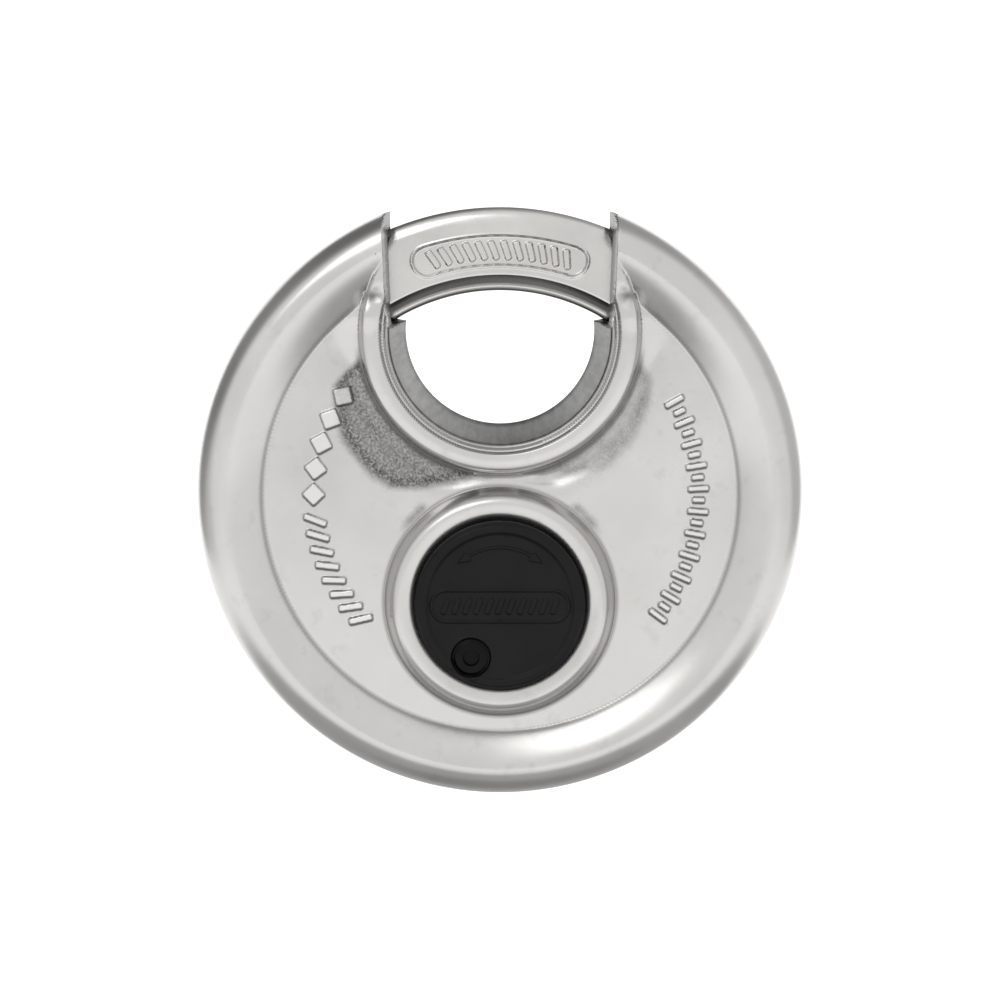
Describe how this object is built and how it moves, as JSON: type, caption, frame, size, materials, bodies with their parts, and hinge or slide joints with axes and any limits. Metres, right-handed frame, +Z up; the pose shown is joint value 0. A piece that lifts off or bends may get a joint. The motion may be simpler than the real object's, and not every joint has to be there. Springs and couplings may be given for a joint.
{
  "type": "disc padlock",
  "caption": "Round disc padlock: pressed steel shells, a recessed ring shackle that turns behind a round throat, geared disc cylinder and a swivelling keyway cover",
  "frame": {"origin": "centre of the disc on the plane where the two shells meet, on the axis the shackle turns about", "axes": "+X right seen from the front, +Z up with the throat at the top, -Y towards the front face with the keyway"},
  "size_m": [0.08, 0.0281, 0.0778],
  "materials": {
    "pressed_stainless": "satin pressed stainless steel",
    "shackle_steel": "ground hardened stainless steel",
    "die_cast_zinc": "dull die-cast zinc",
    "brass": "machined brass",
    "disc_brass": "stamped brass",
    "keyway_steel": "turned hardened steel",
    "hard_steel": "hardened steel, oiled",
    "black_plastic": "satin black moulded plastic",
    "black_rivet": "blackened hollow rivet"
  },
  "bodies": {
    "lock_body": {"front_shell": "pressed_stainless", "back_shell": "pressed_stainless", "core_front": "die_cast_zinc", "core_rear": "die_cast_zinc", "cylinder_barrel": "brass", "drill_plate": "keyway_steel", "barrel_pin": "hard_steel", "cover_washer": "hard_steel", "anti_drill_pin_1": "hard_steel", "anti_drill_pin_2": "hard_steel", "core_screw_1": "hard_steel", "core_screw_2": "hard_steel", "core_screw_3": "hard_steel", "core_screw_4": "hard_steel"},
    "shackle_ring": {"shackle": "shackle_steel"},
    "rotor_unit": {"rotor": "brass", "keyway_plate": "keyway_steel", "drive_gear": "hard_steel", "retaining_clip": "hard_steel", "disc_spacer_1": "hard_steel", "disc_spacer_2": "hard_steel", "disc_spacer_3": "hard_steel", "disc_spacer_4": "hard_steel", "disc_spacer_5": "hard_steel"},
    "sidebar_bar": {"sidebar": "hard_steel"},
    "cover": {"dust_cover": "black_plastic", "cover_rivet": "black_rivet"},
    "disc_1": {"detainer_disc_1": "disc_brass"},
    "disc_2": {"detainer_disc_2": "disc_brass"},
    "disc_3": {"detainer_disc_3": "disc_brass"},
    "disc_4": {"detainer_disc_4": "disc_brass"},
    "disc_5": {"detainer_disc_5": "disc_brass"},
    "disc_6": {"detainer_disc_6": "disc_brass"}
  },
  "joints": [
    {"name": "shackle_swing", "type": "hinge", "parent": "lock_body", "child": "shackle_ring", "pos_m": [0, 0, 0], "axis": [0, -1, 0], "range_deg": [0, 70]},
    {"name": "rotor_turn", "type": "hinge", "parent": "lock_body", "child": "rotor_unit", "pos_m": [0, 0, -0.01375], "axis": [0, -1, 0], "range_deg": [0, 140]},
    {"name": "sidebar_travel", "type": "slide", "parent": "rotor_unit", "child": "sidebar_bar", "axis": [0, 0, -1], "range_m": [-0.0009, 0.0009]},
    {"name": "cover_swivel", "type": "hinge", "parent": "lock_body", "child": "cover", "pos_m": [-0.00376, -0.0134, -0.02051], "axis": [0, -1, 0], "range_deg": [-160, 160]},
    {"name": "disc_1_turn", "type": "hinge", "parent": "rotor_unit", "child": "disc_1", "pos_m": [0, 0, -0.01375], "axis": [0, -1, 0], "range_deg": [-90, 0]},
    {"name": "disc_2_turn", "type": "hinge", "parent": "rotor_unit", "child": "disc_2", "pos_m": [0, 0, -0.01375], "axis": [0, -1, 0], "range_deg": [-90, 0]},
    {"name": "disc_3_turn", "type": "hinge", "parent": "rotor_unit", "child": "disc_3", "pos_m": [0, 0, -0.01375], "axis": [0, -1, 0], "range_deg": [-90, 0]},
    {"name": "disc_4_turn", "type": "hinge", "parent": "rotor_unit", "child": "disc_4", "pos_m": [0, 0, -0.01375], "axis": [0, -1, 0], "range_deg": [-90, 0]},
    {"name": "disc_5_turn", "type": "hinge", "parent": "rotor_unit", "child": "disc_5", "pos_m": [0, 0, -0.01375], "axis": [0, -1, 0], "range_deg": [-90, 0]},
    {"name": "disc_6_turn", "type": "hinge", "parent": "rotor_unit", "child": "disc_6", "pos_m": [0, 0, -0.01375], "axis": [0, -1, 0], "range_deg": [-90, 0]}
  ],
  "couplings": [
    {"joint": "rotor_turn", "follows": "shackle_swing", "ratio": 2}
  ]
}
